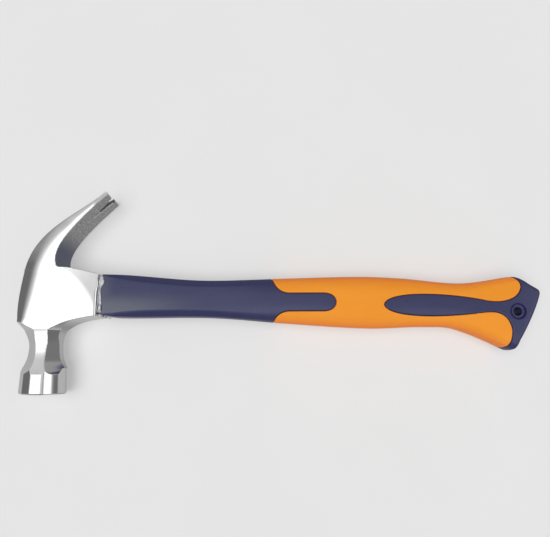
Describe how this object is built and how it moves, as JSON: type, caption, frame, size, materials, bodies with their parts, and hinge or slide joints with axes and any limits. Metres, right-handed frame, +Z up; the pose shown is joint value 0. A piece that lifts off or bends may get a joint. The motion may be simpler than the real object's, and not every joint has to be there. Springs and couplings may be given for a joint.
{
  "type": "claw hammer",
  "caption": "Claw hammer with a polished forged head, octagonal neck and poll, curved split claw, and a moulded two-colour handle on a fibreglass core with a hang hole.",
  "frame": {"origin": "middle of the underside of the bounding box of the hammer lying on its side", "axes": "+X along the handle from the head to the butt, +Y towards the claw tips, -Y out of the striking face, +Z up through the hang hole"},
  "size_m": [0.329, 0.1292, 0.029],
  "materials": {
    "polished_steel": "ground and polished, rough inside the claws",
    "fibreglass": "satin pultruded",
    "navy_plastic": "semi-gloss moulded",
    "orange_rubber": "matt fine-textured",
    "epoxy": "cloudy cast resin"
  },
  "bodies": {
    "root": {"head": "polished_steel", "fibreglass_core": "fibreglass", "handle_jacket": "navy_plastic", "grip_overmould": "orange_rubber", "eye_resin": "epoxy"}
  },
  "joints": []
}
